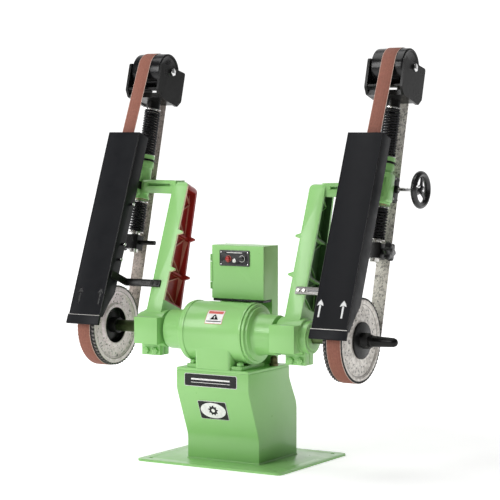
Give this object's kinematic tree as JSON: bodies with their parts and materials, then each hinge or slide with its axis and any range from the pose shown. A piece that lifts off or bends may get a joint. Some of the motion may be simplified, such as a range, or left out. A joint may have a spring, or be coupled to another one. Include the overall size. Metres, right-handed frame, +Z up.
{
  "type": "pedestal belt grinder",
  "caption": "Floor-standing belt grinder: motor on a sheet pedestal, a contact wheel on each spindle end, and a leaning arm with idler drum and belt over each wheel.",
  "frame": {"origin": "centre of the floor plate's underside, on the floor", "axes": "+Z up, +X along the spindle to the end with the tapered nose, -Y towards the operator"},
  "size_m": [1.6055, 0.6939, 1.7611],
  "materials": {
    "green_paint": "gloss green enamel",
    "black_paint": "satin black enamel on sheet steel",
    "black_iron": "black-painted casting",
    "cast_aluminium": "turned and as-cast aluminium",
    "tyre_rubber": "serrated black rubber",
    "abrasive_cloth": "red-brown aluminium oxide grit on beige cloth",
    "bright_steel": "turned bright steel",
    "chrome_steel": "polished chrome",
    "spring_steel": "black oiled spring steel",
    "black_plastic": "moulded black plastic",
    "red_plastic": "moulded red plastic",
    "lamp_lens": "milky lamp lens",
    "bronze": "oiled bronze bush",
    "motor_steel": "laminated electrical steel",
    "nameplate_black": "black printed plate, blank",
    "black_aluminium": "gloss black painted aluminium drum"
  },
  "bodies": {
    "stand": {"floor_plate": "green_paint", "pedestal_column": "green_paint", "pedestal_top_plate": "green_paint", "rear_access_cover": "green_paint", "nameplate": "nameplate_black", "emblem_plate": "nameplate_black", "cable_gland": "bronze", "motor_frame": "green_paint", "motor_foot_bolts": "green_paint", "motor_stator": "motor_steel", "spindle_bearings": "bright_steel", "control_box_body": "green_paint", "contactor": "black_plastic", "left_end_bell": "green_paint", "right_end_bell": "green_paint"},
    "spindle": {"motor_rotor": "motor_steel", "spindle_shaft": "bright_steel", "wheel_flanges": "black_iron", "taper_nose": "black_iron", "left_contact_wheel": "cast_aluminium", "right_contact_wheel": "cast_aluminium", "left_wheel_tyre": "tyre_rubber", "right_wheel_tyre": "tyre_rubber"},
    "door": {"control_box_door": "green_paint", "switch_panel": "black_plastic", "indicator_lamp": "lamp_lens"},
    "stop": {"stop_button": "red_plastic"},
    "start": {"start_button": "black_plastic"},
    "right_arm": {"right_arm_frame": "green_paint", "right_clamp_bolts": "green_paint", "right_guide_bushes": "bronze", "right_guard_cover": "black_paint", "right_guard_brackets": "bright_steel", "right_abrasive_belt": "abrasive_cloth", "right_upper_spring": "spring_steel", "right_lower_spring": "spring_steel"},
    "right_head": {"right_tension_rod": "chrome_steel", "right_idler_yoke": "black_iron", "right_idler_axle": "chrome_steel", "right_rod_stop_block": "black_iron"},
    "right_idler": {"right_idler_drum": "black_aluminium"},
    "right_knob": {"right_star_knob": "black_plastic"},
    "right_handwheel_set": {"right_pinion_shaft": "chrome_steel", "right_handwheel": "black_plastic"},
    "left_arm": {"left_arm_frame": "green_paint", "left_clamp_bolts": "green_paint", "left_guide_bushes": "bronze", "left_guard_cover": "black_paint", "left_guard_brackets": "bright_steel", "left_abrasive_belt": "abrasive_cloth", "left_upper_spring": "spring_steel", "left_lower_spring": "spring_steel"},
    "left_head": {"left_tension_rod": "chrome_steel", "left_idler_yoke": "black_iron", "left_idler_axle": "chrome_steel", "left_rod_stop_block": "black_iron"},
    "left_idler": {"left_idler_drum": "black_aluminium"},
    "left_knob": {"left_star_knob": "black_plastic"},
    "left_handwheel_set": {"left_pinion_shaft": "chrome_steel", "left_handwheel": "black_plastic"}
  },
  "joints": [
    {"name": "spindle_spin", "type": "hinge", "parent": "stand", "child": "spindle", "pos_m": [0, -0.138, 0.56], "axis": [1, 0, 0], "continuous": true},
    {"name": "door_hinge", "type": "hinge", "parent": "stand", "child": "door", "pos_m": [-0.132, -0.044, 0.807], "axis": [0, 0, 1], "range_deg": [-110, 0]},
    {"name": "stop_press", "type": "slide", "parent": "door", "child": "stop", "axis": [0, 1, 0], "range_m": [0, 0.004], "stiffness_N_per_m": 600, "springref_m": -0.002},
    {"name": "start_press", "type": "slide", "parent": "door", "child": "start", "axis": [0, 1, 0], "range_m": [0, 0.004], "stiffness_N_per_m": 600, "springref_m": -0.002},
    {"name": "right_arm_tilt", "type": "hinge", "parent": "stand", "child": "right_arm", "pos_m": [0, -0.138, 0.56], "axis": [1, 0, 0], "range_deg": [-30, 65]},
    {"name": "right_head_slide", "type": "slide", "parent": "right_arm", "child": "right_head", "axis": [0, 0.2419, 0.9703], "range_m": [-0.045, 0.005], "deforming": ["right_upper_spring", "right_lower_spring", "right_abrasive_belt"]},
    {"name": "right_idler_spin", "type": "hinge", "parent": "right_head", "child": "right_idler", "pos_m": [0.6065, 0.23906, 1.67505], "axis": [1, 0, 0], "continuous": true},
    {"name": "right_knob_turn", "type": "hinge", "parent": "right_head", "child": "right_knob", "pos_m": [0.6065, 0.06734, 0.91192], "axis": [1, 0, 0], "range_deg": [0, 360]},
    {"name": "right_handwheel_turn", "type": "hinge", "parent": "right_arm", "child": "right_handwheel_set", "pos_m": [0.6065, 0.16177, 1.16664], "axis": [1, 0, 0], "range_deg": [-20, 172.5]},
    {"name": "left_arm_tilt", "type": "hinge", "parent": "stand", "child": "left_arm", "pos_m": [0, -0.138, 0.56], "axis": [1, 0, 0], "range_deg": [-30, 65]},
    {"name": "left_head_slide", "type": "slide", "parent": "left_arm", "child": "left_head", "axis": [0, 0.2419, 0.9703], "range_m": [-0.045, 0.005], "deforming": ["left_upper_spring", "left_lower_spring", "left_abrasive_belt"]},
    {"name": "left_idler_spin", "type": "hinge", "parent": "left_head", "child": "left_idler", "pos_m": [-0.6065, 0.23906, 1.67505], "axis": [1, 0, 0], "continuous": true},
    {"name": "left_knob_turn", "type": "hinge", "parent": "left_head", "child": "left_knob", "pos_m": [-0.6065, 0.06734, 0.91192], "axis": [-1, 0, 0], "range_deg": [0, 360]},
    {"name": "left_handwheel_turn", "type": "hinge", "parent": "left_arm", "child": "left_handwheel_set", "pos_m": [-0.6065, 0.16177, 1.16664], "axis": [1, 0, 0], "range_deg": [-20, 172.5]}
  ],
  "couplings": [
    {"joint": "right_idler_spin", "follows": "spindle_spin", "ratio": 2.0833},
    {"joint": "right_handwheel_turn", "follows": "right_head_slide", "rad_per_m": -66.667},
    {"joint": "left_idler_spin", "follows": "spindle_spin", "ratio": 2.0833},
    {"joint": "left_handwheel_turn", "follows": "left_head_slide", "rad_per_m": -66.667}
  ]
}
